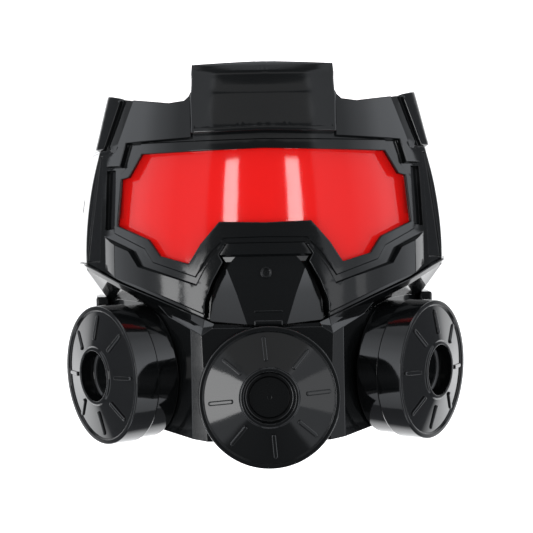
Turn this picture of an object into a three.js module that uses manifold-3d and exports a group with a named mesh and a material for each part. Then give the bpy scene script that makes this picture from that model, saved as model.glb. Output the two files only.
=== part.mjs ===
// Costume gas mask: a moulded half shell with a raised brow, a tinted visor, a nose insert,
// a jaw housing and three ribbed filter canisters. It lies on its rear rim.
// Millimetres. +Z points forward, out of the face, +Y towards the brow, +X to the viewer's right.
import * as THREE from "three";
import { mergeVertices } from "three/addons/utils/BufferGeometryUtils.js";
import Module from "manifold-3d";

const wasm = await Module();
wasm.setup();

// Driving dimensions
const wall = 2.2; // thickness of the moulded sheets
const gap = 0.3; // clearance between two pieces
const faceHalfWidth = 112; // at the rear rim, beside the cheeks
const sideLean = 7.2; // how far the side walls lean in between the rim and the crease
const frontSpread = 12; // what the rounded front would add to that half width without side walls
const faceDepth = 101; // rear rim to the nose bridge
const browTop = 115.8; // height of the brow above the level of the nose bridge
const faceLow = -40; // lowest level that the face skin is drawn to
const squareness = 2.3; // exponent of the rounded cross section, 2 being an ellipse
const shellColumns = 28; // facets across the curved skin
const wingRelief = 2.6; // how far the wings and the temples stand out
const cheekRelief = 1.8;
const cheekGroove = 3; // between the cheek block and the seam
const sideRecess = 2.2; // depth of the sunk panels beside the visor
const browRelief = 5.4;
const browHalfWidth = 41;
const browLow = 76.6;
const browLipHeight = 6.4; // the sloping lip along the top of the brow
const visorTop = 67.6;
const visorLow = 24.6; // lower edge over the nose bridge
const visorTip = 1.4; // lowest points of the two eye corners
const visorHalfWidth = 85.4;
const visorFlange = 5.2; // depth of the opening's inner wall
const visorThickness = 1.6;
const visorOverlap = 4; // how far the lens reaches behind the frame
const bridgeHalfWidth = 26.7;
const noseTop = 12.8;
const noseHalfWidth = 36.2;
const noseFlange = 6; // how far the insert reaches sideways behind the shell
const noseFlangeDepth = 8;
const strapSlotHeight = 8;
const strapSlotWidth = 3.6;
const strapSlotLevel = 36.8;
const strapSlotForward = 24;
const jawFront = 104; // height of the flat front of the jaw above the rear rim
const jawHalfWidth = 38; // of that flat front
const jawTop = -36.3;
const jawLow = -101.6;
const jawRimHalfWidth = 101;
const jawRimLow = -70;
const seamRise = 39.5; // how far the seam climbs from the middle to the sides
const jawLip = 3.6; // width of the rounded lip under the seam
const jawLipBulge = 0.6;
const chinDepth = 46; // how far the underside reaches back
const jawReturn = 9; // width of the turned-in edge behind the chin
const canisterRadius = 40.6;
const canisterStep = 1.6; // how much narrower the base is than the cap
const capSkirt = 16;
const baseLength = 13.7;
const faceRise = 5; // height of the shallow cone from the rim to the cup's lip
const faceSunk = 1; // the rim stands this far above the cone's foot
const rimWidth = 3.1;
const cupRadius = 14.8;
const lipWidth = 2;
const cupDepth = 9;
const ribCount = 8;
const ribWidth = 2.6;
const ribHeight = 0.9;
const ribInner = 21;
const ribOuter = 35.2;
const roundSegments = 40;
const frontCanisterLevel = -75.5;
const sideCanister = { outward: 97, level: -62.8, forward: 80 }; // centre of the cap's rim plane
const sideCanisterTurn = 58.8; // degrees from forward to outward
const sideCanisterDroop = 4.75; // degrees that its axis leans down in the front view
const frontCanisterSpin = 5; // degrees

const blackGloss = { color: 0x0b0b0c, roughness: 0.22, metalness: 0 };
const redLens = { color: 0xd8100c, roughness: 0.08, metalness: 0, transparent: true, opacity: 0.82 };

// Sections of the face skin: height as a share of browTop, width and depth as shares of the face's
const faceSections = [
  { level: 1, width: 0.8, depth: 0.885 },
  { level: 1 - browLipHeight / browTop, width: 0.815, depth: 0.926 },
  { level: 0.85, width: 0.843, depth: 0.938 },
  { level: 0.665, width: 0.893, depth: 0.97 },
  { level: 0.39, width: 0.966, depth: 0.99 },
  { level: 0.09, width: 1, depth: 0.995 },
  { level: -0.13, width: 0.991, depth: 1 },
  { level: faceLow / browTop, width: 0.964, depth: 1 },
];

function sectionAt(y) {
  const share = y / browTop;
  const rows = faceSections;
  let i = 0;
  while (i < rows.length - 2 && share < rows[i + 1].level) i += 1;
  const t = (share - rows[i].level) / (rows[i + 1].level - rows[i].level);
  const width = THREE.MathUtils.lerp(rows[i].width, rows[i + 1].width, t);
  const depth = THREE.MathUtils.lerp(rows[i].depth, rows[i + 1].depth, t);
  return { halfWidth: width * faceHalfWidth, depth: depth * faceDepth };
}

const creaseShare = (faceHalfWidth - sideLean) / faceHalfWidth;
const spreadShare = (faceHalfWidth + frontSpread) / faceHalfWidth;
const roundedFront = (share) => (1 - (share / spreadShare) ** squareness) ** (1 / squareness);

// Forward share of the skin at a share of its half width: a rounded front between straight side walls
function forwardShare(share) {
  if (share < creaseShare) return roundedFront(share);
  return (roundedFront(creaseShare) * (1 - share)) / (1 - creaseShare);
}

// Forward position of the skin at a place in the front view
function skinForward(x, y, offset = 0) {
  const section = sectionAt(y);
  const share = Math.min(Math.abs(x) / (section.halfWidth + offset), 1);
  return (section.depth + offset) * forwardShare(share);
}

// Closed mesh between two grids of points that have the same rows and columns
function sheet(outer, inner) {
  const rows = outer.length;
  const columns = outer[0].length;
  const positions = [...outer, ...inner].flat().flatMap((p) => [p.x, p.y, p.z]);
  const at = (side, row, column) => (side * rows + row) * columns + column;
  const indices = [];
  const quad = (a, b, c, d) => indices.push(a, b, c, a, c, d);
  for (let r = 0; r < rows - 1; r += 1) {
    for (let c = 0; c < columns - 1; c += 1) {
      quad(at(0, r, c), at(0, r + 1, c), at(0, r + 1, c + 1), at(0, r, c + 1));
      quad(at(1, r, c), at(1, r, c + 1), at(1, r + 1, c + 1), at(1, r + 1, c));
    }
    quad(at(0, r, 0), at(1, r, 0), at(1, r + 1, 0), at(0, r + 1, 0));
    const last = columns - 1;
    quad(at(0, r, last), at(0, r + 1, last), at(1, r + 1, last), at(1, r, last));
  }
  for (let c = 0; c < columns - 1; c += 1) {
    const end = rows - 1;
    quad(at(0, 0, c), at(0, 0, c + 1), at(1, 0, c + 1), at(1, 0, c));
    quad(at(0, end, c), at(1, end, c), at(1, end, c + 1), at(0, end, c + 1));
  }
  const geometry = new THREE.BufferGeometry();
  geometry.setAttribute("position", new THREE.Float32BufferAttribute(positions, 3));
  geometry.setIndex(indices);
  return geometry;
}

function solid(geometry) {
  const bare = geometry.clone();
  bare.deleteAttribute("normal");
  bare.deleteAttribute("uv");
  const merged = mergeVertices(bare, 1e-4);
  const mesh = new wasm.Mesh({
    numProp: 3,
    vertProperties: new Float32Array(merged.attributes.position.array),
    triVerts: new Uint32Array(merged.index.array),
  });
  return new wasm.Manifold(mesh);
}

function geometryOf(body) {
  const mesh = body.getMesh();
  const geometry = new THREE.BufferGeometry();
  geometry.setAttribute("position", new THREE.BufferAttribute(new Float32Array(mesh.vertProperties), 3));
  geometry.setIndex([...mesh.triVerts]);
  geometry.computeVertexNormals();
  return geometry;
}

// One row of skin points at a level, from the left rim over the front to the right rim
function skinRow(y, offset) {
  const { halfWidth, depth } = sectionAt(y);
  const creaseAngle = Math.asin((creaseShare / spreadShare) ** (squareness / 2));
  const half = shellColumns / 2;
  const row = [];
  for (let c = -half; c <= half; c += 1) {
    const step = Math.abs(c);
    const angle = (creaseAngle * Math.min(step, half - 1)) / (half - 1);
    const share = step === half ? 1 : spreadShare * Math.sin(angle) ** (2 / squareness);
    const x = Math.sign(c) * (halfWidth + offset) * share;
    row.push(new THREE.Vector3(x, y, (depth + offset) * forwardShare(share)));
  }
  return row;
}

// The curved layer between two offsets from the skin
function layer(from, to) {
  const levels = faceSections.map((section) => section.level * browTop);
  const outer = levels.map((y) => skinRow(y, to));
  const inner = levels.map((y) => skinRow(y, from));
  return solid(sheet(outer, inner));
}

// A straight prism along Z over an outline given as pairs of front-view coordinates
function prism(points, low = -20, high = faceDepth + 40) {
  const outline = points.map(([x, y]) => new THREE.Vector2(x, y));
  if (THREE.ShapeUtils.area(outline) < 0) outline.reverse();
  const geometry = new THREE.ExtrudeGeometry(new THREE.Shape(outline), { depth: high - low, bevelEnabled: false });
  geometry.translate(0, 0, low);
  return solid(geometry);
}

const mirrored = (points) => points.map(([x, y]) => [-x, y]).reverse();

// A full outline from its right half, which runs from the top middle to the bottom middle
const wholeOutline = (half) => [...half, ...mirrored(half.filter(([x]) => x > 0))];

// Moves every edge of an outline outwards, or inwards where the distance is negative
function grown(points, distance) {
  const outline = points.map(([x, y]) => new THREE.Vector2(x, y));
  if (THREE.ShapeUtils.area(outline) < 0) outline.reverse();
  const count = outline.length;
  return outline.map((point, i) => {
    const before = point.clone().sub(outline[(i + count - 1) % count]).normalize();
    const after = outline[(i + 1) % count].clone().sub(point).normalize();
    const a = new THREE.Vector2(before.y, -before.x);
    const b = new THREE.Vector2(after.y, -after.x);
    const scale = distance / (1 + a.dot(b));
    return [point.x + (a.x + b.x) * scale, point.y + (a.y + b.y) * scale];
  });
}

// Raises a panel of the shell, or sinks it where the height is negative, at the same wall thickness
function relief(shell, outline, height) {
  const panel = prism(outline);
  if (height > 0) {
    const hollow = prism(grown(outline, -wall)).intersect(layer(-wall - 1, height - wall));
    return shell.add(panel.intersect(layer(-wall, height))).subtract(hollow);
  }
  const backing = prism(grown(outline, wall)).intersect(layer(height - wall, -wall / 2));
  return shell.add(backing).subtract(panel.intersect(layer(height, 1)));
}

const bothSides = (outline) => [outline, mirrored(outline)];

// Right half of the visor opening, from the top middle round to the bridge
const eyeHeight = visorTop - visorLow;
const tipDrop = visorLow - visorTip;
const visorHalf = [
  [0, visorTop],
  [visorHalfWidth * 0.826, visorTop - eyeHeight * 0.051],
  [visorHalfWidth * 0.917, visorTop - eyeHeight * 0.36],
  [visorHalfWidth * 0.968, visorTop - eyeHeight * 0.384],
  [visorHalfWidth, visorLow - tipDrop * 0.017],
  [visorHalfWidth * 0.786, visorTip + tipDrop * 0.616],
  [visorHalfWidth * 0.711, visorTip + tipDrop * 0.203],
  [visorHalfWidth * 0.523, visorTip],
  [visorHalfWidth * 0.44, visorTip + tipDrop * 0.487],
  [bridgeHalfWidth, visorLow + tipDrop * 0.034],
  [0, visorLow],
];
const visorOutline = wholeOutline(visorHalf);

// The seam between the face shell and the jaw housing, right half, from the middle past the rim
const seamMiddle = jawTop + 1;
const seamHalf = [
  [0, seamMiddle],
  [noseHalfWidth * 0.84, seamMiddle + seamRise * 0.04],
  [noseHalfWidth, seamMiddle + seamRise * 0.109],
  [faceHalfWidth * 0.403, seamMiddle + seamRise * 0.213],
  [faceHalfWidth * 0.564, seamMiddle + seamRise * 0.425],
  [faceHalfWidth * 0.757, seamMiddle + seamRise * 0.668],
  [faceHalfWidth * 0.876, seamMiddle + seamRise * 0.866],
  [faceHalfWidth * creaseShare, seamMiddle + seamRise * 0.954],
  [faceHalfWidth * 1.07, seamMiddle + seamRise],
];

function seamLevel(x) {
  const across = Math.abs(x);
  let i = 0;
  while (i < seamHalf.length - 2 && across > seamHalf[i + 1][0]) i += 1;
  const [fromX, fromY] = seamHalf[i];
  const [toX, toY] = seamHalf[i + 1];
  return THREE.MathUtils.mapLinear(across, fromX, toX, fromY, toY);
}

// The hole for the nose insert, right half, from the top middle down past the seam
const noseHeight = noseTop - jawTop;
const noseHalf = [
  [0, noseTop],
  [noseHalfWidth * 0.63, noseTop],
  [noseHalfWidth * 0.75, noseTop - noseHeight * 0.134],
  [noseHalfWidth * 0.685, noseTop - noseHeight * 0.22],
  [noseHalfWidth * 0.86, noseTop - noseHeight * 0.452],
  [noseHalfWidth * 0.985, noseTop - noseHeight * 0.697],
  [noseHalfWidth, jawTop - noseHeight * 0.1],
];

function faceShell() {
  let shell = layer(-wall, 0);
  const wing = [
    [browHalfWidth + gap, browLow - 2.6],
    [visorHalfWidth * 0.92, visorTop + eyeHeight * 0.098],
    [visorHalfWidth * 0.975, visorTop + eyeHeight * 0.095],
    [visorHalfWidth * 0.87, browTop * 0.83],
    [visorHalfWidth * 0.87, browTop + 4],
    [browHalfWidth + gap, browTop + 4],
  ];
  const wingArm = [
    [visorHalfWidth * 0.9, visorTop + eyeHeight * 0.16],
    [visorHalfWidth * 0.92, visorTop + eyeHeight * 0.098],
    [visorHalfWidth * 0.966, visorTop - eyeHeight * 0.214],
    [visorHalfWidth * 1.057, visorTop - eyeHeight * 0.214],
    [visorHalfWidth * 1.063, visorTop - eyeHeight * 0.03],
    [visorHalfWidth * 0.993, visorTop - eyeHeight * 0.005],
    [visorHalfWidth * 0.967, visorTop + eyeHeight * 0.15],
  ];
  const temple = [
    [visorHalfWidth * 0.955, browTop * 0.838],
    [visorHalfWidth * 1.076, visorTop + eyeHeight * 0.021],
    [faceHalfWidth * 1.18, visorTop - eyeHeight * 0.026],
    [faceHalfWidth * 1.18, browTop * 1.03],
    [visorHalfWidth * 0.955, browTop * 1.03],
  ];
  const cheekEnd = visorHalfWidth * 1.093;
  const cheekFoot = [cheekEnd, faceHalfWidth * 0.757, faceHalfWidth * 0.564, faceHalfWidth * 0.403, noseHalfWidth];
  const cheek = [
    ...cheekFoot.map((x) => [x, seamLevel(x) + cheekGroove]).reverse(),
    [cheekEnd, visorLow - tipDrop * 0.293],
    [visorHalfWidth * 0.902, visorTip + tipDrop * 0.345],
    [visorHalfWidth * 0.845, visorTip - tipDrop * 0.047],
    [visorHalfWidth * 0.472, visorTip - tipDrop * 0.539],
    [visorHalfWidth * 0.415, visorTip - tipDrop * 0.138],
    [bridgeHalfWidth * 0.95, noseTop - noseHeight * 0.02],
    [noseHalfWidth * 0.5, noseTop - noseHeight * 0.02],
    [noseHalfWidth * 0.5, seamLevel(noseHalfWidth) + cheekGroove],
  ];
  const sunkPanel = [
    [visorHalfWidth * 1.028, visorTop - eyeHeight * 0.395],
    [visorHalfWidth * 1.084, visorTop - eyeHeight * 0.395],
    [visorHalfWidth * 1.084, visorLow - tipDrop * 0.086],
    [visorHalfWidth * 1.028, visorLow - tipDrop * 0.086],
  ];
  for (const outline of bothSides(wing)) shell = relief(shell, outline, wingRelief);
  for (const outline of bothSides(wingArm)) {
    shell = shell.add(prism(outline).intersect(layer(-wall / 2, wingRelief)));
  }
  for (const outline of bothSides(temple)) shell = relief(shell, outline, wingRelief);
  for (const outline of bothSides(cheek)) shell = relief(shell, outline, cheekRelief);
  for (const outline of bothSides(sunkPanel)) shell = relief(shell, outline, -sideRecess);

  const flange = prism(grown(visorOutline, wall)).intersect(layer(-visorFlange, 0));
  shell = shell.add(flange).subtract(prism(visorOutline));
  shell = shell.subtract(prism(wholeOutline(noseHalf)));

  const topEdge = [
    [0, browTop * 0.83],
    [browHalfWidth * 0.94, browTop * 0.83],
    [browHalfWidth * 0.94, browTop * 0.872],
    [browHalfWidth * 1.01, browTop * 0.872],
    [browHalfWidth * 1.035, browTop * 0.85],
    [browHalfWidth * 1.1, browTop * 0.828],
    [visorHalfWidth * 0.63, browTop * 0.818],
    [visorHalfWidth * 0.9, browTop * 0.843],
    [visorHalfWidth * 1.094, browTop * 0.88],
    [faceHalfWidth + 30, browTop * 0.89],
    [faceHalfWidth + 30, browTop + 30],
    [0, browTop + 30],
  ];
  for (const outline of bothSides(topEdge)) shell = shell.subtract(prism(outline));
  const belowSeam = seamHalf.map(([x, y]) => [x, y + gap]);
  const pastLow = faceLow - noseHeight / 2;
  belowSeam.push([faceHalfWidth + 30, belowSeam.at(-1)[1]], [faceHalfWidth + 30, pastLow], [0, pastLow]);
  for (const outline of bothSides(belowSeam)) shell = shell.subtract(prism(outline));

  for (const side of [-1, 1]) {
    const slot = new THREE.BoxGeometry(30, strapSlotHeight, strapSlotWidth);
    slot.translate(side * (faceHalfWidth - 5), strapSlotLevel, strapSlotForward);
    shell = shell.subtract(solid(slot));
  }
  return geometryOf(shell);
}

function browPlate() {
  const half = [
    [0, browTop],
    [browHalfWidth - 1, browTop - 1.6],
    [browHalfWidth - 0.4, browTop - 16],
    [browHalfWidth, browTop - 18],
    [browHalfWidth, browLow - 0.6],
    [0, browLow + 0.6],
  ];
  const outline = wholeOutline(half);
  const hollowHalf = [
    [browHalfWidth - wall, browTop + 9],
    [browHalfWidth - wall, browLow - 0.6 + wall],
    [0, browLow + 0.6 + wall],
  ];
  const hollow = prism(wholeOutline(hollowHalf));
  const plate = prism(outline).intersect(layer(gap, browRelief));
  return geometryOf(plate.subtract(hollow.intersect(layer(-1, browRelief - wall))));
}

const lensFront = -visorFlange - gap;
const lensBack = lensFront - visorThickness;

function visorLens() {
  const outline = grown(visorOutline, visorOverlap);
  return geometryOf(prism(outline).intersect(layer(lensBack, lensFront)));
}

// A strip that holds one end of the lens against the frame
function lensBracket(side) {
  const low = visorLow + eyeHeight * 0.1;
  const high = visorLow + eyeHeight * 0.5;
  const inner = visorHalfWidth * 0.96;
  const bend = visorHalfWidth + visorOverlap * 1.4;
  const outer = visorHalfWidth * 1.1;
  const seat = -sideRecess - wall - gap;
  const box = (from, to) => [[from, low], [to, low], [to, high], [from, high]].map(([x, y]) => [side * x, y]);
  const back = lensBack - gap - wall;
  const strip = prism(box(inner, outer)).intersect(layer(back, lensBack - gap));
  const foot = prism(box(bend, outer)).intersect(layer(back, seat));
  return geometryOf(strip.add(foot));
}

// Mirrors the columns of a half grid, whose first column lies in the middle, to a full one
function fullRows(halfRows) {
  return halfRows.map((row) => {
    const left = row.slice(1).reverse().map((p) => new THREE.Vector3(-p.x, p.y, p.z));
    return [...left, ...row];
  });
}

// Moves the points of a grid back by the wall, square to the faces round each point
function thickened(rows, thickness) {
  const at = (r, c) => rows[Math.min(Math.max(r, 0), rows.length - 1)][Math.min(Math.max(c, 0), rows[0].length - 1)];
  return rows.map((row, r) => row.map((point, c) => {
    const normals = [];
    for (const [dr, dc] of [[-1, -1], [-1, 1], [1, 1], [1, -1]]) {
      const down = at(r + dr, c).clone().sub(point);
      const across = at(r, c + dc).clone().sub(point);
      const normal = down.cross(across).multiplyScalar(dr * dc);
      if (normal.lengthSq() > 1e-6) normals.push(normal.normalize());
    }
    const mean = normals.reduce((sum, n) => sum.add(n), new THREE.Vector3()).normalize();
    const flattest = Math.min(...normals.map((n) => n.dot(mean)));
    return point.clone().addScaledVector(mean, -thickness / Math.max(flattest, 0.55));
  }));
}

const turn = THREE.MathUtils.degToRad(sideCanisterTurn);
const droop = THREE.MathUtils.degToRad(sideCanisterDroop);
const canisterLength = capSkirt + baseLength + gap;
const sideAxis = new THREE.Vector3(
  Math.sin(turn) * Math.cos(droop),
  -Math.sin(turn) * Math.sin(droop),
  Math.cos(turn),
).normalize();
const sideCentre = new THREE.Vector3(sideCanister.outward, sideCanister.level, sideCanister.forward);
const seatCentre = sideCentre.clone().addScaledVector(sideAxis, -canisterLength - gap);

// Forward position of the flat seat of the right canister
function seatForward(x, y) {
  const across = sideAxis.x * (x - seatCentre.x) + sideAxis.y * (y - seatCentre.y);
  return seatCentre.z - across / sideAxis.z;
}

// The jaw's edge along the seam, on the skin or at a depth under it, right half
function seamRow(depth) {
  const row = seamHalf.slice(0, -1).map(([x]) => {
    const across = x - (x / faceHalfWidth) * depth;
    return new THREE.Vector3(across, seamLevel(across), skinForward(across, seamLevel(across), -depth));
  });
  const rim = sectionAt(seamHalf.at(-2)[1]).halfWidth - depth;
  row.push(new THREE.Vector3(rim, seamLevel(rim), 0));
  return row;
}

// The jaw from the muzzle's middle to the far edge of the seat: the levels of the ledge are shares
// of the seam's rise over the muzzle's top, those of the low edge over its bottom
const jawColumns = [
  { across: 0, ledge: 0, low: 0 },
  { across: jawHalfWidth * 0.84, ledge: 0, low: 0 },
  { across: jawHalfWidth, ledge: -0.1, low: 0 },
  { across: jawHalfWidth * 1.16, ledge: -0.003, low: 0.041 },
  { across: jawHalfWidth * 1.5, ledge: 0.185, low: 0.128 },
  { across: seatCentre.x + canisterRadius * 0.04, ledge: 0.397, low: 0.236 },
  { across: seatCentre.x + canisterRadius * 0.37, ledge: 0.438, low: 0.324 },
  { across: seatCentre.x + canisterRadius * 0.52, ledge: 0.413, low: 0.365 },
];
const muzzleColumns = 3; // the first of them lie on the flat front

function jawHousing() {
  const place = (x, y, z) => new THREE.Vector3(x, y, z);
  const forwardOf = (x, y, column) => {
    if (column < muzzleColumns) return jawFront;
    return Math.min(jawFront - 2, seatForward(x, y));
  };
  const seam = seamRow(0);
  const ledge = jawColumns.map(({ across, ledge: share }, i) => {
    const y = jawTop + share * seamRise;
    return place(across, y, forwardOf(across, y, i));
  });
  const low = jawColumns.map(({ across, low: share }, i) => {
    const y = jawLow + share * seamRise;
    const x = i === muzzleColumns - 1 ? across * 0.94 : across;
    return place(x, y, forwardOf(x, y, i));
  });
  const back = low.map((p, i) => {
    const share = Math.max(i - muzzleColumns + 1, 0) / (jawColumns.length - muzzleColumns);
    const reach = THREE.MathUtils.lerp(chinDepth, jawReturn, share);
    return place(p.x * 0.9, p.y + 2, Math.max(p.z - reach, 0));
  });
  ledge.push(place(jawRimHalfWidth, ledge.at(-1).y + 3, 0));
  low.push(place(jawRimHalfWidth, jawRimLow, 0));
  back.push(place(jawRimHalfWidth - jawReturn, jawRimLow + 2, 0));
  const lip = seam.map((p, i) => {
    if (i < muzzleColumns) return p.clone().lerp(ledge[i], 0.5);
    const y = p.y - jawLip;
    const x = (p.x * sectionAt(y).halfWidth) / sectionAt(p.y).halfWidth;
    return place(x, y, i === seam.length - 1 ? 0 : skinForward(x, y) + jawLipBulge);
  });
  const outer = fullRows([seam, lip, ledge, low, back]);
  const inside = thickened(outer, wall);
  inside[0] = fullRows([seamRow(wall)])[0];
  for (const row of inside) {
    row[0].z = 0;
    row.at(-1).z = 0;
  }
  return sheet(outer, inside);
}

// Rows of the nose insert: drop below its top as a share of its height, widths as shares of its half
// width, and offsets from the skin of the middle part and of the side edges
const noseRows = [
  { drop: 0.006, ridge: 0.5, edge: 0.62, centre: 0, side: -0.4 },
  { drop: 0.134, ridge: 0.5, edge: 0.735, centre: 0, side: -0.8 },
  { drop: 0.163, ridge: 0.49, edge: 0.69, centre: -1.8, side: -2.2 },
  { drop: 0.22, ridge: 0.56, edge: 0.655, centre: -1.6, side: -2.8 },
  { drop: 0.305, ridge: 0.625, edge: 0.685, centre: -1.2, side: -3.6 },
  { drop: 0.59, ridge: 0.48, edge: 0.86, centre: 0.2, side: -5 },
  { drop: 1, ridge: 0.32, edge: 0.91, centre: 1.4, side: -3.4 },
];

function nosePlate() {
  const lift = (x, y, forward) => new THREE.Vector3(x, y, skinForward(x, y) + forward);
  const half = noseRows.map((row) => {
    const level = noseTop - row.drop * noseHeight;
    const edgeX = row.edge * noseHalfWidth;
    const ridgeX = row.ridge * noseHalfWidth;
    const above = (x) => Math.max(level, seamLevel(x) + gap * 1.4);
    return [
      lift(0, above(0), row.centre),
      lift(ridgeX, above(ridgeX), row.centre),
      lift(edgeX, above(edgeX), row.side),
      lift(edgeX, above(edgeX), -noseFlangeDepth),
      lift(edgeX + noseFlange, above(edgeX + noseFlange), -noseFlangeDepth),
    ];
  });
  const outer = fullRows(half);
  let plate = solid(sheet(outer, thickened(outer, wall)));
  const boss = new THREE.CylinderGeometry(noseHalfWidth * 0.09, noseHalfWidth * 0.09, wall + 1, 20);
  boss.rotateX(Math.PI / 2);
  boss.translate(0, noseTop - noseHeight * 0.354, skinForward(0, 0) - 1.4);
  plate = plate.add(solid(boss));
  return geometryOf(plate);
}

const lathe = (profile) => {
  const points = profile.map(([radius, height]) => new THREE.Vector2(radius, height));
  const geometry = new THREE.LatheGeometry([...points, points[0]], roundSegments);
  geometry.rotateX(Math.PI / 2);
  return geometry;
};

// The ribbed face with its skirt, along +Z, with the rim in the plane z = 0
function canisterCap() {
  const coneFoot = canisterRadius - rimWidth;
  const lipOuter = cupRadius + lipWidth;
  const lipTop = faceRise;
  const floor = lipTop - cupDepth;
  const under = -faceSunk - wall;
  const profile = [
    [0, floor + 1.2],
    [cupRadius - 3, floor],
    [cupRadius, floor + 0.6],
    [cupRadius, lipTop],
    [lipOuter, lipTop],
    [lipOuter + 0.6, lipTop - 0.9],
    [coneFoot, -faceSunk],
    [coneFoot + 0.6, 0],
    [canisterRadius - 0.8, 0],
    [canisterRadius, -0.8],
    [canisterRadius, -capSkirt],
    [canisterRadius - wall, -capSkirt],
    [canisterRadius - wall, under],
    [lipOuter + 0.6, lipTop - 0.9 - wall],
    [lipOuter, floor - wall + 1.2],
    [cupRadius - 3, floor - wall],
    [0, floor - wall + 1.2],
  ];
  const geometry = lathe(profile.reverse());
  let cap = solid(geometry);
  const slope = (lipTop - 0.9 + faceSunk) / (lipOuter + 0.6 - coneFoot);
  for (let i = 0; i < ribCount; i += 1) {
    const rib = new THREE.BoxGeometry(ribOuter - ribInner, ribWidth, ribHeight + wall);
    const middle = (ribOuter + ribInner) / 2;
    rib.rotateY(-Math.atan(slope));
    const surface = -faceSunk + slope * (middle - coneFoot);
    rib.translate(middle, 0, surface + (ribHeight - wall) / 2);
    rib.rotateZ((i * 2 * Math.PI) / ribCount);
    cap = cap.add(solid(rib));
  }
  return geometryOf(cap);
}

// The cup behind the cap, open towards it, with its flat back at the bottom
function canisterBase() {
  const radius = canisterRadius - canisterStep;
  const top = -capSkirt - gap;
  const bottom = top - baseLength;
  return lathe([
    [0, bottom],
    [radius - 1, bottom],
    [radius, bottom + 1],
    [radius, top],
    [radius - wall, top],
    [radius - wall, bottom + wall],
    [0, bottom + wall],
  ]);
}

function material({ color, roughness, metalness, transparent = false, opacity = 1 }) {
  return new THREE.MeshStandardMaterial({ color, roughness, metalness, transparent, opacity });
}

function piece(name, geometry, finish) {
  const mesh = new THREE.Mesh(geometry, material(finish));
  mesh.name = name;
  return mesh;
}

function canister(prefix) {
  const group = new THREE.Group();
  group.add(piece(`${prefix}_canister_base`, canisterBase(), blackGloss));
  group.add(piece(`${prefix}_canister_cap`, canisterCap(), blackGloss));
  return group;
}

const mask = new THREE.Group();
mask.add(piece("face_shell", faceShell(), blackGloss));
mask.add(piece("brow_plate", browPlate(), blackGloss));
mask.add(piece("visor_lens", visorLens(), redLens));
mask.add(piece("lens_bracket_left", lensBracket(-1), blackGloss));
mask.add(piece("lens_bracket_right", lensBracket(1), blackGloss));
mask.add(piece("nose_plate", nosePlate(), blackGloss));
mask.add(piece("jaw_housing", jawHousing(), blackGloss));

const front = canister("front");
front.position.set(0, frontCanisterLevel, jawFront + gap + canisterLength);
front.rotation.z = THREE.MathUtils.degToRad(frontCanisterSpin);
mask.add(front);
const forward = new THREE.Vector3(0, 0, 1);
for (const side of [-1, 1]) {
  const group = canister(side < 0 ? "left" : "right");
  const axis = new THREE.Vector3(side * sideAxis.x, sideAxis.y, sideAxis.z);
  group.quaternion.setFromUnitVectors(forward, axis);
  group.position.set(side * sideCentre.x, sideCentre.y, sideCentre.z);
  mask.add(group);
}

// The origin lies under the middle of the whole mask, on the surface that it rests on
mask.updateMatrixWorld(true);
const bounds = new THREE.Box3().setFromObject(mask, true);
const middle = bounds.getCenter(new THREE.Vector3());
mask.position.set(-middle.x, -middle.y, -bounds.min.z);

const model = new THREE.Group();
model.add(mask);

export default model;
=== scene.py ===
"""Gas mask style costume mask: glossy black mouldings, a red visor and three ribbed canisters."""
import math

import bmesh
import bpy
import numpy as np
from mathutils import Matrix, Quaternion, Vector
from mathutils.geometry import delaunay_2d_cdt
from mathutils.kdtree import KDTree


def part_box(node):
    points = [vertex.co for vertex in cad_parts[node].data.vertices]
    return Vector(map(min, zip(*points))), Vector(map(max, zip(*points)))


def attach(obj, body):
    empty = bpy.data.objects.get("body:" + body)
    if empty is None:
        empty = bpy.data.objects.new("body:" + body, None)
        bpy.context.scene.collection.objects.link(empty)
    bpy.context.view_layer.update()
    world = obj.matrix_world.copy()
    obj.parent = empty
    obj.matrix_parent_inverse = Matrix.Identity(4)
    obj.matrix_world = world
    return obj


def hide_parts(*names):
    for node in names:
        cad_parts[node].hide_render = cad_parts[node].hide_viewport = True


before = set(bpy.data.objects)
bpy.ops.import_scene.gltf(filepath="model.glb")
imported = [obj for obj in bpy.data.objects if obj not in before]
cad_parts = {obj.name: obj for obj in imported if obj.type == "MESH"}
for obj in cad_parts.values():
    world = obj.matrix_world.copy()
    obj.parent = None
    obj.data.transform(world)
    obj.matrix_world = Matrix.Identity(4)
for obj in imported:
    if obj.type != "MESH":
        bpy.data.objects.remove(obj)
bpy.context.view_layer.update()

MM = 0.001


def high_corner(node):
    """The highest corner of a node's box, in millimetres."""
    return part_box(node)[1] / MM


# Sizes in millimetres, taken from the frame where a node's box gives them
BROW_TOP = 115.8
LEVEL = high_corner("brow_plate").y - BROW_TOP  # from the levels below to the frame's own
WALL = 2.2
GAP = 0.3
FACE_HALF_WIDTH = high_corner("face_shell").x
FACE_DEPTH = 101.0
SIDE_LEAN = 7.2
FRONT_SPREAD = 12.0
CREASE_SHARE = (FACE_HALF_WIDTH - SIDE_LEAN) / FACE_HALF_WIDTH
SPREAD_SHARE = (FACE_HALF_WIDTH + FRONT_SPREAD) / FACE_HALF_WIDTH
SQUARENESS = 2.3
WING_RELIEF = 2.6
CHEEK_RELIEF = 1.8
CHEEK_END_RISE = 4.2  # how much further the cheek block stands out at its outer end
CHEEK_GROOVE = 3.0
BEZEL_HEIGHT = 0.9
CHANNEL_DEPTH = 1.0
RIDGE_HEIGHT = 1.8
RIDGE_HALF_WIDTH = 3.8
SIDE_RECESS = 2.2
SIDE_GROOVE_DEPTH = 1.2
RAISED_EDGE = 1.0
SUNK_EDGE = 0.8
EDGE_RADIUS = 0.7
BROW_RELIEF = 5.4
BROW_HALF_WIDTH = high_corner("brow_plate").x
BROW_LOW = 76.6
BROW_LIP_HEIGHT = 6.4
BROW_BEAD = 0.7
BROW_BEAD_WIDTH = 3.0
BROW_CREST = 0.35
BROW_HOLLOW = 0.5
VISOR_TOP = 67.6
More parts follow.
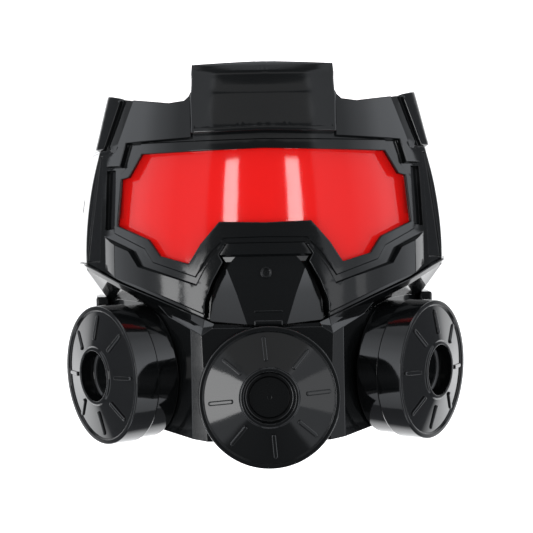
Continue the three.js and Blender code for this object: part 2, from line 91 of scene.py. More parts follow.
VISOR_LOW = 24.6
VISOR_TIP = 1.4
VISOR_HALF_WIDTH = 85.4
VISOR_FLANGE = 5.2
VISOR_THICKNESS = 1.6
VISOR_OVERLAP = 4.0
BRIDGE_HALF_WIDTH = 26.7
NOSE_TOP = 12.8
NOSE_HALF_WIDTH = 36.2
NOSE_FLANGE = 6.0
NOSE_FLANGE_DEPTH = 8.0
NOSE_LAP = 3.4
NOSE_LAP_OFFSET = -2.8
NOSE_LAP_FALL = 4.0
NOSE_BEVEL = 0.45
SEAM_RISE = 39.5
JAW_LIP = 3.6
JAW_LIP_INSET = 2.2
JAW_BEVEL = 0.9
JAW_RIM_LIFT = 0.4
JAW_SETBACK = 2.0
LEDGE_RIM_RISE = 3.0
LIP_ROOT = 1.0
LIP_GROWTH = 12.0
LIP_STEPS = 90
STRAP_SLOT_HEIGHT = 8.0
STRAP_SLOT_WIDTH = 3.6
STRAP_SLOT_LEVEL = 36.8
STRAP_SLOT_FORWARD = 24.0
JAW_FRONT = high_corner("jaw_housing").z
JAW_HALF_WIDTH = 38.0
JAW_TOP = -36.3
JAW_LOW = -101.6
JAW_RIM_HALF_WIDTH = 101.0
JAW_RIM_LOW = -70.0
JAW_LOW_TAPER = 0.94
CHIN_DEPTH = 46.0
CHIN_TAPER = 0.9
CHIN_RISE = 2.0
JAW_RETURN = 9.0
CANISTER_RADIUS = 40.6
CANISTER_STEP = 1.6
CAP_SKIRT = 16.0
BASE_LENGTH = 13.7
FACE_RISE = 5.0
FACE_SUNK = 1.0
RIM_WIDTH = 3.1
CUP_RADIUS = 14.8
LIP_WIDTH = 2.0
CUP_DEPTH = 9.0
RIB_COUNT = 8
RIB_WIDTH = 2.6
RIB_HEIGHT = 1.0
RIB_INNER = 21.0
RIB_OUTER = 35.2
FRONT_CANISTER_LEVEL = -75.5
FRONT_CANISTER_SPIN = 5.0
SIDE_CANISTER = Vector((97.0, -62.8, 80.0))
SIDE_CANISTER_TURN = 58.8
SIDE_CANISTER_DROOP = 4.75
ROUND_STEPS = 128
EYE_HEIGHT = VISOR_TOP - VISOR_LOW
TIP_DROP = VISOR_LOW - VISOR_TIP
NOSE_HEIGHT = NOSE_TOP - JAW_TOP
SEAM_MIDDLE = JAW_TOP + 1.0

# Sections of the face skin: level as a share of BROW_TOP, width and depth as shares of the face's
FACE_SECTIONS = [
    {"level": 1.0, "width": 0.800, "depth": 0.885},
    {"level": 1.0 - BROW_LIP_HEIGHT / BROW_TOP, "width": 0.815, "depth": 0.926},
    {"level": 0.85, "width": 0.843, "depth": 0.938},
    {"level": 0.665, "width": 0.893, "depth": 0.970},
    {"level": 0.39, "width": 0.966, "depth": 0.990},
    {"level": 0.09, "width": 1.0, "depth": 0.995},
    {"level": -0.13, "width": 0.991, "depth": 1.0},
    {"level": -40.0 / BROW_TOP, "width": 0.964, "depth": 1.0},
]


def eased_table(column):
    """Level and size samples on a smooth curve through one column of the section table."""
    rows = sorted(FACE_SECTIONS, key=lambda row: row["level"])
    levels = np.array([row["level"] * BROW_TOP for row in rows])
    values = np.array([row[column] for row in rows])
    slopes = np.gradient(values, levels)
    fine = np.linspace(levels[0], levels[-1], 400)
    index = np.clip(np.searchsorted(levels, fine) - 1, 0, len(levels) - 2)
    span = levels[index + 1] - levels[index]
    t = (fine - levels[index]) / span
    start = (2 * t**3 - 3 * t**2 + 1) * values[index] + (t**3 - 2 * t**2 + t) * span * slopes[index]
    end = (3 * t**2 - 2 * t**3) * values[index + 1] + (t**3 - t**2) * span * slopes[index + 1]
    return fine, start + end


WIDTH_LEVELS, WIDTH_SHARES = eased_table("width")
DEPTH_LEVELS, DEPTH_SHARES = eased_table("depth")


def half_width(y):
    return FACE_HALF_WIDTH * np.interp(y, WIDTH_LEVELS, WIDTH_SHARES)


def depth(y):
    return FACE_DEPTH * np.interp(y, DEPTH_LEVELS, DEPTH_SHARES)


def rounded_front(share):
    return (1 - (share / SPREAD_SHARE) ** SQUARENESS) ** (1 / SQUARENESS)


def forward_share(share):
    """Forward share of the skin: a rounded front between straight side walls."""
    side = rounded_front(CREASE_SHARE) * (1 - share) / (1 - CREASE_SHARE)
    return np.where(share < CREASE_SHARE, rounded_front(np.minimum(share, CREASE_SHARE)), side)


def section_table():
    """Arc length round half a section and past the rim, with the shares across and forward."""
    share = np.concatenate([np.linspace(0, CREASE_SHARE, 3000), np.linspace(CREASE_SHARE, 1.2, 3000)[1:]])
    forward = forward_share(share)
    steps = np.hypot(np.diff(share) * FACE_HALF_WIDTH, np.diff(forward) * FACE_DEPTH)
    arc = np.concatenate([[0.0], np.cumsum(steps)])
    rim = float(np.interp(1.0, share, arc))
    even = np.arange(0, rim + 30, 0.1)
    kernel = np.ones(9) / 9
    rounded = []
    for values, sign in ((np.interp(even, arc, share), -1), (np.interp(even, arc, forward), 1)):
        padded = np.concatenate([sign * values[4:0:-1], values, np.repeat(values[-1:], 4)])
        rounded.append(np.convolve(padded, kernel, "valid"))
    return even, rounded[0], rounded[1], rim


ARC, ACROSS, FORWARD, RIM_ARC = section_table()


def arc_of(x, y):
    """Arc length from the middle to a front-view place, running straight on past the rim."""
    share = np.abs(x) / half_width(y)
    past = np.maximum(share - 1, 0) * half_width(y)
    return np.sign(x) * (np.interp(np.minimum(share, 1), ACROSS, ARC) + past)


def bare_skin(arc, y):
    side = np.abs(arc)
    x = np.sign(arc) * half_width(y) * np.interp(side, ARC, ACROSS)
    z = depth(y) * np.interp(side, ARC, FORWARD)
    return np.stack([x, y, z], axis=-1)


def skin(arc, y, offset):
    """Points at an offset from the skin, square to it."""
    step = 0.4
    along = bare_skin(arc + step, y) - bare_skin(arc - step, y)
    up = bare_skin(arc, y + step) - bare_skin(arc, y - step)
    normal = np.cross(along, up)
    normal /= np.linalg.norm(normal, axis=-1, keepdims=True)
    points = bare_skin(arc, y) + normal * np.asarray(offset)[..., None]
    at_rim = np.abs(arc) > RIM_ARC - 0.01
    points[at_rim, 2] = 0.0
    points[:, 2] = np.maximum(points[:, 2], 0.0)
    return points


def skin_forward(x, y, offset=0.0):
    share = np.clip(np.abs(x) / (half_width(y) + offset), 0, 1)
    return (depth(y) + offset) * forward_share(share)


def divided(points, closed=True, longest=2.5):
    """The same line with no step longer than a limit."""
    result = []
    count = len(points) if closed else len(points) - 1
    for i in range(count):
        a = np.array(points[i], float)
        b = np.array(points[(i + 1) % len(points)], float)
        steps = max(1, math.ceil(np.linalg.norm(b - a) / longest))
        result += [a + (b - a) * k / steps for k in range(steps)]
    if not closed:
        result.append(np.array(points[-1], float))
    return np.array(result)


def cleaned(line, closed=True):
    """The same line without points that lie on the one before."""
    apart = np.linalg.norm(line - np.roll(line, 1, axis=0), axis=1) > 1e-3
    if not closed:
        apart[0] = True
    return line[apart]


def unrolled(points, closed=True):
    """A front-view line laid on the unrolled skin: arc length and level."""
    line = divided(points, closed)
    return cleaned(np.stack([arc_of(line[:, 0], line[:, 1]), line[:, 1]], axis=-1), closed)


def mirrored(points):
    return [(-x, y) for x, y in points][::-1]


def whole(half):
    """A full outline from its right half, which starts and ends in the middle or beside it."""
    return half + mirrored([p for p in half if p[0] > 0])


def area(line):
    x, y = line[:, 0], line[:, 1]
    return 0.5 * float(np.sum(x * np.roll(y, -1) - y * np.roll(x, -1)))


def grown(line, distance):
    """Every edge of a closed line moved outwards by a distance."""
    line = line if area(line) > 0 else line[::-1]
    before = line - np.roll(line, 1, axis=0)
    after = np.roll(line, -1, axis=0) - line
    before /= np.linalg.norm(before, axis=1, keepdims=True)
    after /= np.linalg.norm(after, axis=1, keepdims=True)
    a = np.stack([before[:, 1], -before[:, 0]], axis=-1)
    b = np.stack([after[:, 1], -after[:, 0]], axis=-1)
    scale = distance / np.maximum(1 + np.sum(a * b, axis=1), 0.35)
    return line + (a + b) * scale[:, None]


def inside(line, x, y):
    """True for each place that lies inside a closed line."""
    result = np.zeros(x.shape, bool)
    for (x0, y0), (x1, y1) in zip(line, np.roll(line, -1, axis=0)):
        if y0 == y1:
            continue
        crosses = (y0 > y) != (y1 > y)
        result ^= crosses & (x < (x1 - x0) * (y - y0) / (y1 - y0) + x0)
    return result


def distance(line, x, y, closed=True):
    """Distance from each place to a line."""
    best = np.full(x.shape, 1e9)
    ends = np.roll(line, -1, axis=0)
    count = len(line) if closed else len(line) - 1
    for i in range(count):
        ax, ay = line[i]
        dx, dy = ends[i] - line[i]
        t = np.clip(((x - ax) * dx + (y - ay) * dy) / (dx * dx + dy * dy + 1e-12), 0, 1)
        best = np.minimum(best, np.hypot(x - ax - t * dx, y - ay - t * dy))
    return best


def signed_distance(line, x, y):
    """Distance to a closed line, positive inside it."""
    return np.where(inside(line, x, y), 1, -1) * distance(line, x, y)


def ramp(d, width):
    t = np.clip(d / width + 0.5, 0, 1)
    return t * t * (3 - 2 * t)


def rounding(d, radius):
    """How far a rounded edge falls away at a distance from it."""
    short = radius - np.clip(d, 0, radius)
    return radius - np.sqrt(np.maximum(radius**2 - short**2, 0))


def ring_faces(pairs, count):
    """Faces between pairs of closed rings of points."""
    faces = []
    for one, two in pairs:
        for i in range(count):
            j = (i + 1) % count
            faces.append((one * count + i, one * count + j, two * count + j, two * count + i))
    return faces


def row_faces(rows, columns):
    """Faces over rows of points."""
    faces = []
    for r in range(rows - 1):
        for c in range(columns - 1):
            a = r * columns + c
            faces.append((a, a + columns, a + columns + 1, a + 1))
    return faces


class Panel:
    """A raised or sunk area of a sheet, given by its outline on the unrolled skin."""

    def __init__(self, outline, height, width):
        self.line = unrolled(outline)
        self.height = height
        self.width = width

    def lines(self):
        shares = (-0.5, -0.3, -0.12, 0.12, 0.3, 0.5)
        return [grown(self.line, self.width * share) for share in shares]

    def offset(self, arc, y):
        return self.height * ramp(signed_distance(self.line, arc, y), self.width)


def new_object(name, data):
    item = bpy.data.objects.new(name, data)
    bpy.context.scene.collection.objects.link(item)
    return item


def mesh_object(name, points, faces):
    mesh = bpy.data.meshes.new(name)
    mesh.from_pydata([tuple(p) for p in np.asarray(points) * MM], [], [tuple(f) for f in faces])
    mesh.validate()
    return new_object(name, mesh)


def moved(piece, x, y, z):
    """The piece with its mesh moved to a place in millimetres."""
    piece.data.transform(Matrix.Translation(Vector((x, y + LEVEL, z)) * MM))
    return piece


def moulded_sheet(name, border, holes, lines, outer, inner, spacing=3.0):
    """A closed sheet over the skin, with its vertices along the border, the holes and the lines."""
    points = []
    edges = []
    for line, closed in [(border, True)] + [(hole, True) for hole in holes] + lines:
        first = len(points)
        points += [tuple(p) for p in line]
        count = len(line)
        edges += [(first + i, first + (i + 1) % count) for i in range(count if closed else count - 1)]
    tree = KDTree(len(points))
    for i, (arc, y) in enumerate(points):
        tree.insert((arc, y, 0), i)
    tree.balance()
    low, high = border.min(axis=0), border.max(axis=0)
    for row, y in enumerate(np.arange(low[1] + spacing / 2, high[1], spacing)):
        for arc in np.arange(low[0] + spacing * (0.25 + 0.5 * (row % 2)), high[0], spacing):
            if tree.find((arc, y, 0))[2] > spacing * 0.45:
                points.append((float(arc), float(y)))
    flat = [Vector(p) for p in points]
    corners, _, triangles, *_ = delaunay_2d_cdt(flat, edges, [], 0, 1e-4)
    place = np.array([tuple(c) for c in corners])
    triangles = np.array([t for t in triangles if len(t) == 3])
    middle = place[triangles].mean(axis=1)
    keep = inside(border, middle[:, 0], middle[:, 1])
    for hole in holes:
        keep &= ~inside(hole, middle[:, 0], middle[:, 1])
    triangles = triangles[keep]
    used = np.unique(triangles)
    order = {int(v): i for i, v in enumerate(used)}
    place = place[used]
    triangles = [tuple(order[int(v)] for v in t) for t in triangles]
    arc, y = place[:, 0], place[:, 1]
    front = skin(arc, y, outer(arc, y))
    back = skin(arc, y, inner(arc, y))
    count = len(place)
    seen = {}
    for a, b, c in triangles:
        for edge in ((a, b), (b, c), (c, a)):
            seen[edge] = True
    sides = [(b, a, a + count, b + count) for a, b in seen if (b, a) not in seen]
    faces = triangles + [(c + count, b + count, a + count) for a, b, c in triangles] + sides
    return mesh_object(name, np.concatenate([front, back]) + [0, LEVEL, 0], faces)


def smooth(piece, angle=40):
    """Smooth shading with sharp edges past an angle, and flats that stay flat."""
    mesh = piece.data
    mesh.polygons.foreach_set("use_smooth", [True] * len(mesh.polygons))
    mesh.set_sharp_from_angle(angle=math.radians(angle))
    weighted = piece.modifiers.new("flat_normals", "WEIGHTED_NORMAL")
    weighted.keep_sharp = True
    weighted.weight = 80
    return piece


def bevelled(piece, width, angle):
    bevel = piece.modifiers.new("round_edges", "BEVEL")
    bevel.width = width * MM
    bevel.segments = 3
    bevel.limit_method = "ANGLE"
    bevel.angle_limit = math.radians(angle)
    bevel.use_clamp_overlap = True
    return piece


def finished(piece, material, slot, *nodes):
    piece.data.materials.clear()
    piece.data.materials.append(material)
    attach(piece, "root")
    if nodes:
        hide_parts(*nodes)
    return piece


# Materials
SCUFF_ROUGHNESS = 0.03
LENS_CLEARNESS = 0.3


def new_material(name):
    material = bpy.data.materials.new(name)
    material.use_nodes = True
    nodes = material.node_tree.nodes
    return material, nodes, material.node_tree.links, nodes["Principled BSDF"]


def noise(nodes, links, place, scale, detail):
    """A noise texture's value at a place."""
    texture = nodes.new("ShaderNodeTexNoise")
    texture.inputs["Scale"].default_value = scale
    texture.inputs["Detail"].default_value = detail
    links.new(place, texture.inputs["Vector"])
    return texture.outputs["Fac"]


def bump(nodes, links, height, strength, distance):
    node = nodes.new("ShaderNodeBump")
    node.inputs["Strength"].default_value = strength
    node.inputs["Distance"].default_value = distance
    links.new(height, node.inputs["Height"])
    return node


def map_range(nodes, links, value, low, high, to_low, to_high):
    """A value carried over from one range to another."""
    node = nodes.new("ShaderNodeMapRange")
    node.inputs["From Min"].default_value = low
    node.inputs["From Max"].default_value = high
    node.inputs["To Min"].default_value = to_low
    node.inputs["To Max"].default_value = to_high
    links.new(value, node.inputs["Value"])
    return node.outputs["Result"]


def worked_out(nodes, links, operation, *values):
    """The result of a Math node on one or two values."""
    node = nodes.new("ShaderNodeMath")
    node.operation = operation
    for value, socket in zip(values, node.inputs):
        links.new(value, socket)
    return node.outputs["Value"]


def black_plastic(name, roughness, tone):
    """Glossy moulded plastic with flow waviness, a faint grain and fine rubbed scuffs."""
    material, nodes, links, shader = new_material(name)
    shader.inputs["Base Color"].default_value = (tone, tone * 1.1, tone * 1.15, 1)
    shader.inputs["IOR"].default_value = 1.5
    place = nodes.new("ShaderNodeTexCoord").outputs["Object"]
    stretched = nodes.new("ShaderNodeMapping")
    stretched.inputs["Rotation"].default_value = (0.2, 0.5, 0.9)
    stretched.inputs["Scale"].default_value = (60, 900, 300)
    links.new(place, stretched.inputs["Vector"])
    scuffs = noise(nodes, links, stretched.outputs["Vector"], scale=1.0, detail=5.0)
    scuffed = map_range(nodes, links, scuffs, 0.52, 0.74, roughness, roughness + SCUFF_ROUGHNESS)
    links.new(scuffed, shader.inputs["Roughness"])
    waviness = noise(nodes, links, place, scale=38.0, detail=1.0)
    waves = bump(nodes, links, waviness, strength=0.22, distance=0.0006)
    grain = noise(nodes, links, place, scale=1400.0, detail=2.0)
    surface = bump(nodes, links, grain, strength=0.05, distance=0.00008)
    links.new(waves.outputs["Normal"], surface.inputs["Normal"])
    links.new(surface.outputs["Normal"], shader.inputs["Normal"])
    return material


def red_plastic():
    """Translucent red sheet, clear enough to show what lies behind its ends."""
    material, nodes, links, shader = new_material("red_visor")
    shader.inputs["Base Color"].default_value = (0.75, 0.014, 0.012, 1)
    shader.inputs["Roughness"].default_value = 0.06
    shader.inputs["IOR"].default_value = 1.49
    clear = nodes.new("ShaderNodeBsdfTransparent")
    clear.inputs["Color"].default_value = (0.95, 0.03, 0.02, 1)
    place = nodes.new("ShaderNodeTexCoord").outputs["Object"]
    waviness = noise(nodes, links, place, scale=25.0, detail=2.0)
    waves = bump(nodes, links, waviness, strength=0.12, distance=0.0004)
    links.new(waves.outputs["Normal"], shader.inputs["Normal"])
    mix = nodes.new("ShaderNodeMixShader")
    mix.inputs["Fac"].default_value = LENS_CLEARNESS
    links.new(shader.outputs["BSDF"], mix.inputs[1])
    links.new(clear.outputs["BSDF"], mix.inputs[2])
    links.new(mix.outputs["Shader"], nodes["Material Output"].inputs["Surface"])
    return material


shell_black = black_plastic("shell_black", 0.1, 0.0045)
canister_black = black_plastic("canister_black", 0.07, 0.004)
visor_red = red_plastic()


# Outlines of the face, right halves, in the front view
def upper(across, rise):
    """A place by shares of the visor's half width and of its height above or below its top edge."""
    return (VISOR_HALF_WIDTH * across, VISOR_TOP + EYE_HEIGHT * rise)


def lower(across, rise):
    """A place by shares of the visor's half width and of the eye corner's height above its tip."""
    return (VISOR_HALF_WIDTH * across, VISOR_TIP + TIP_DROP * rise)


visor_half = [
    (0, VISOR_TOP),
    upper(0.826, -0.051),
    upper(0.917, -0.36),
    upper(0.968, -0.384),
    lower(1, 0.983),
    lower(0.786, 0.616),
    lower(0.711, 0.203),
    lower(0.523, 0),
    lower(0.44, 0.487),
    (BRIDGE_HALF_WIDTH, VISOR_LOW + TIP_DROP * 0.034),
    (0, VISOR_LOW),
]
visor_outline = unrolled(whole(visor_half))
bezel_half = [
    (0, VISOR_TOP + EYE_HEIGHT * 0.126),
    upper(0.83, 0.095),
    upper(0.922, -0.207),
    upper(0.968, -0.298),
    upper(1.008, -0.419),
    lower(1.024, 0.802),
    lower(0.992, 0.733),
    lower(0.817, 0.388),
    lower(0.763, 0.047),
    lower(0.477, -0.336),
    lower(0.385, 0.207),
    lower(0.281, 0.621),
    lower(0, 0.64),
]

# The seam to the jaw, right half: across and share of its rise
SEAM_TABLE = [
    (0, 0),
    (NOSE_HALF_WIDTH * 0.84, 0.04),
    (NOSE_HALF_WIDTH, 0.109),
    (FACE_HALF_WIDTH * 0.403, 0.213),
    (FACE_HALF_WIDTH * 0.564, 0.425),
    (FACE_HALF_WIDTH * 0.757, 0.668),
    (FACE_HALF_WIDTH * 0.876, 0.866),
    (FACE_HALF_WIDTH * CREASE_SHARE, 0.954),
    (FACE_HALF_WIDTH * 1.07, 1),
]
seam_half = [(x, SEAM_MIDDLE + SEAM_RISE * share) for x, share in SEAM_TABLE]


def seam_level(x):
    across, levels = zip(*seam_half)
    return float(np.interp(abs(x), across, levels))


def below_nose_top(across, drop):
    return (NOSE_HALF_WIDTH * across, NOSE_TOP - NOSE_HEIGHT * drop)


nose_half = [
    (0, NOSE_TOP),
    below_nose_top(0.63, 0),
    below_nose_top(0.75, 0.134),
    below_nose_top(0.685, 0.22),
    below_nose_top(0.86, 0.452),
    below_nose_top(0.985, 0.697),
    (NOSE_HALF_WIDTH * 0.992, seam_level(NOSE_HALF_WIDTH) + GAP),
]
top_half = [
    (FACE_HALF_WIDTH + 9, BROW_TOP * 0.886),
    (VISOR_HALF_WIDTH * 1.094, BROW_TOP * 0.88),
    (VISOR_HALF_WIDTH * 0.9, BROW_TOP * 0.843),
    (VISOR_HALF_WIDTH * 0.63, BROW_TOP * 0.818),
    (BROW_HALF_WIDTH * 1.1, BROW_TOP * 0.828),
    (BROW_HALF_WIDTH * 1.035, BROW_TOP * 0.85),
    (BROW_HALF_WIDTH * 1.01, BROW_TOP * 0.872),
    (BROW_HALF_WIDTH * 0.94, BROW_TOP * 0.872),
    (BROW_HALF_WIDTH * 0.94, BROW_TOP * 0.83),
    (0, BROW_TOP * 0.83),
]


def slot_outline(side):
    """The strap slot as a round-ended outline on the unrolled skin."""
    share = STRAP_SLOT_FORWARD / depth(STRAP_SLOT_LEVEL)
    arc = side * np.interp(-share, -FORWARD, ARC)
    radius = STRAP_SLOT_WIDTH / 2
    straight = STRAP_SLOT_HEIGHT / 2 - radius
    turn = np.linspace(0, math.pi, 9)
    upper = [(arc + radius * math.cos(t), STRAP_SLOT_LEVEL + straight + radius * math.sin(t)) for t in turn]
    lower = [(arc - radius * math.cos(t), STRAP_SLOT_LEVEL - straight - radius * math.sin(t)) for t in turn]
    return np.array(upper + lower)


class CheekBlock(Panel):
    """The raised cheek, which stands out further towards its bevelled outer end."""

    def __init__(self, outline, end, width):
        super().__init__(outline, CHEEK_RELIEF, width)
        self.end = end
        self.bevel = VISOR_HALF_WIDTH * 0.105
        self.crest = self.bevel_line(self.bevel)

    def bevel_line(self, inset):
        across = self.end - inset
        return unrolled([(across, seam_level(self.end) - 4), (across, VISOR_LOW)], closed=False)

    def lines(self):
        return super().lines() + [self.bevel_line(self.bevel + shift) for shift in (-0.4, 0, 0.4)]

    def offset(self, arc, y):
        x = np.abs(bare_skin(arc, y)[:, 0])
        towards_end = np.clip((x - self.end * 0.55) / (self.end * 0.45 - self.bevel), 0, 1)
        bevel = np.clip((self.end - x) / self.bevel, 0, 1)
        edge = ramp(signed_distance(self.line, arc, y), self.width)
        return (CHEEK_RELIEF + CHEEK_END_RISE * towards_end) * bevel * edge


class Trough(Panel):
    """A sunk area whose bottom falls away from one of its edges to the other."""

    def __init__(self, outline, height, width, fall):
        super().__init__(outline, height, width)
        self.fall = fall
        self.shallow_edge = unrolled([outline[0], outline[-1]], closed=False)
        self.deep_edge = unrolled(outline[1:-1], closed=False)

    def offset(self, arc, y):
        shallow = distance(self.shallow_edge, arc, y, closed=False)
        deep = distance(self.deep_edge, arc, y, closed=False)
        return super().offset(arc, y) * (1 + self.fall * shallow / np.maximum(shallow + deep, 1e-6))


class Ridge:
    """A sharp ridge along a line on the unrolled skin, falling evenly to both sides."""

    def __init__(self, points, height, half_width):
        self.line = unrolled(points, closed=False)
        self.height = height
        self.half_width = half_width

    def lines(self):
        side = np.array([self.half_width, 0])
        return [self.line + side * share for share in (-1, -0.1, 0, 0.1, 1)]

    def offset(self, arc, y):
        return self.height * np.clip(1 - distance(self.line, arc, y, closed=False) / self.half_width, 0, 1)


def face_panels():
    wing = [
        (BROW_HALF_WIDTH + GAP, BROW_LOW - 2.6),
        upper(0.92, 0.098),
        upper(0.966, -0.214),
        upper(1.057, -0.214),
        upper(1.063, -0.03),
        upper(0.993, -0.005),
        upper(0.967, 0.15),
        (VISOR_HALF_WIDTH * 0.87, BROW_TOP * 0.83),
        (VISOR_HALF_WIDTH * 0.87, BROW_TOP + 4),
        (BROW_HALF_WIDTH + GAP, BROW_TOP + 4),
    ]
    temple = [
        (VISOR_HALF_WIDTH * 0.955, BROW_TOP * 0.838),
        upper(1.076, 0.021),
        (FACE_HALF_WIDTH * 1.12, VISOR_TOP - EYE_HEIGHT * 0.026),
        (FACE_HALF_WIDTH * 1.12, BROW_TOP * 1.03),
        (VISOR_HALF_WIDTH * 0.955, BROW_TOP * 1.03),
    ]
    cheek_end = VISOR_HALF_WIDTH * 1.093
    foot = (NOSE_HALF_WIDTH, *(FACE_HALF_WIDTH * share for share in (0.403, 0.564, 0.757)), cheek_end)
    cheek = [(x, seam_level(x) + CHEEK_GROOVE) for x in foot] + [
        (cheek_end, VISOR_LOW - TIP_DROP * 0.293),
        lower(0.902, 0.345),
        lower(0.845, -0.047),
        lower(0.472, -0.539),
        lower(0.415, -0.138),
        (BRIDGE_HALF_WIDTH * 0.95, NOSE_TOP - NOSE_HEIGHT * 0.02),
        (NOSE_HALF_WIDTH * 0.5, NOSE_TOP - NOSE_HEIGHT * 0.02),
        (NOSE_HALF_WIDTH * 0.5, seam_level(NOSE_HALF_WIDTH) + CHEEK_GROOVE),
    ]
    sunk_panel = [upper(1.014, -0.26), upper(1.072, -0.26), lower(1.09, 0.88), lower(1.026, 0.92)]
    side_groove = [upper(0.83, 0.09), upper(0.915, 0.09), upper(0.963, -0.22), upper(0.924, -0.21)]
    temple_ridge = [upper(0.912, 0.69), upper(1.032, 0.07)]
    channel_top = VISOR_TOP - EYE_HEIGHT * 0.06
    channel_low = VISOR_TIP + TIP_DROP * 0.09
    channel = [
        (VISOR_HALF_WIDTH * 1.104, channel_top),
        (VISOR_HALF_WIDTH * 1.133, channel_low),
        (float(half_width(channel_low)) * CREASE_SHARE * 0.995, channel_low),
        (float(half_width(channel_top)) * CREASE_SHARE * 0.995, channel_top),
    ]
    raised = [
        Panel(wing, WING_RELIEF, RAISED_EDGE),
        Panel(temple, WING_RELIEF, RAISED_EDGE),
        CheekBlock(cheek, cheek_end, RAISED_EDGE),
        Ridge(temple_ridge, RIDGE_HEIGHT, RIDGE_HALF_WIDTH),
    ]
    sunk = [
        Trough(sunk_panel, -SIDE_RECESS * 0.5, SUNK_EDGE, fall=1.2),
        Panel(side_groove, -SIDE_GROOVE_DEPTH, SUNK_EDGE),
        Panel(channel, -CHANNEL_DEPTH, SUNK_EDGE),
    ]
    bezel = Panel(whole(bezel_half), BEZEL_HEIGHT, SUNK_EDGE)
    return raised, sunk, bezel


def face_shell():
    raised, sunk, bezel = face_panels()
    border_half = nose_half + [(x, y + GAP) for x, y in seam_half[3:]] + top_half
    border = unrolled(whole(border_half))
    border[:, 0] = np.clip(border[:, 0], -RIM_ARC, RIM_ARC)
    border = cleaned(border)
    slots = [slot_outline(side) for side in (-1, 1)]
    lines = [(line, True) for line in bezel.lines()]
    for panel in raised + sunk:
        for line in panel.lines():
            closed = len(line) == len(panel.line)
            lines += [(line, closed), (line * [-1, 1], closed)]
    crease_arc = float(np.interp(CREASE_SHARE, ACROSS, ARC))
    levels = np.arange(SEAM_MIDDLE, BROW_TOP, 2.0)
    for shift in (-0.8, -0.3, 0.3, 0.8):
        crease_line = np.stack([np.full(levels.shape, crease_arc + shift), levels], axis=-1)
        lines += [(crease_line, False), (crease_line * [-1, 1], False)]
    for inset in (0.12, 0.35, 0.7):
        lines.append((grown(border, -inset), True))
        lines.append((grown(visor_outline, inset), True))

    def relief(arc, y):
        side = np.abs(arc)
        up = np.max([panel.offset(side, y) for panel in raised] + [bezel.offset(arc, y)], axis=0)
        down = np.min([panel.offset(side, y) for panel in sunk], axis=0)
        return up + down

    def outer(arc, y):
        edge = np.minimum(distance(border, arc, y), distance(visor_outline, arc, y))
        return relief(arc, y) - rounding(edge, EDGE_RADIUS)

    def inner(arc, y):
        return relief(arc, y) - WALL

    return moulded_sheet("moulded_face_shell", border, [visor_outline] + slots, lines, outer, inner)


def visor_wall():
    """The inner wall of the visor's opening, square to the front view."""
    outline = divided(whole(visor_half))
    proud = 0.03
    inner_line = grown(outline, proud)
    outer_line = grown(outline, WALL)
    front = -0.2 - EDGE_RADIUS
    back = -VISOR_FLANGE
    rows = []
    for line, offset in ((inner_line, front), (inner_line, back), (outer_line, back), (outer_line, front)):
        forward = skin_forward(line[:, 0], line[:, 1], offset)
        rows.append(np.stack([line[:, 0], line[:, 1] + LEVEL, forward], axis=-1))
    faces = ring_faces([(0, 1), (1, 2), (2, 3), (3, 0)], len(outline))
    return mesh_object("visor_opening_wall", np.concatenate(rows), faces)


def brow_plate():
    half = [
        (0, BROW_LOW + 0.6),
        (BROW_HALF_WIDTH, BROW_LOW - 0.6),
        (BROW_HALF_WIDTH, BROW_TOP - 18),
        (BROW_HALF_WIDTH - 0.4, BROW_TOP - 16),
        (BROW_HALF_WIDTH - 1, BROW_TOP - 1.6),
        (0, BROW_TOP),
    ]
    border = unrolled(whole(half))
    skirt_half = half[:-1]
    skirt = unrolled(mirrored(skirt_half)[:-1] + skirt_half, closed=False)
    crease = BROW_TOP - BROW_LIP_HEIGHT
    lines = [(grown(border, -inset), True) for inset in (0.2, 0.6, 1.2, 1.8, 2.1, 2.4, 2.7, 3.0)]
    across = np.linspace(-BROW_HALF_WIDTH + 4, BROW_HALF_WIDTH - 4, 30)
    for rise in (-10, -6, -2, -0.9, 0, 0.9):
        levels = np.full(across.shape, crease + rise)
        lines.append((np.stack([arc_of(across, levels), levels], axis=-1), False))
    front_levels = (BROW_LOW, crease)
    front_depths = depth(np.array(front_levels))

    def outer(arc, y):
        edge = distance(border, arc, y)
        bead = BROW_BEAD * ramp(BROW_BEAD_WIDTH - edge, 1.2) * (y < BROW_LOW + 4)
        straight = np.where(y < crease, np.interp(y, front_levels, front_depths) - depth(y), 0)
        crest = BROW_CREST * ramp(0.9 - np.abs(y - crease), 1.2)
        hollow = -BROW_HOLLOW * ramp(4.5 - np.abs(y - crease + 6), 8.0)
        return BROW_RELIEF + straight - rounding(edge, RAISED_EDGE) + bead + crest + hollow

    def inner(arc, y):
        hollow = ramp(distance(skirt, arc, y, closed=False) - WALL, 0.8)
        return GAP + (BROW_RELIEF - WALL - GAP) * hollow

    return moulded_sheet("moulded_brow_plate", border, [], lines, outer, inner)


def visor_lens():
    border = grown(visor_outline, VISOR_OVERLAP)
    front = -VISOR_FLANGE - GAP

    def outer(arc, y):
        return np.full(arc.shape, front)

    def inner(arc, y):
        return np.full(arc.shape, front - VISOR_THICKNESS)

    return moulded_sheet("curved_visor_sheet", border, [], [], outer, inner, spacing=4.0)


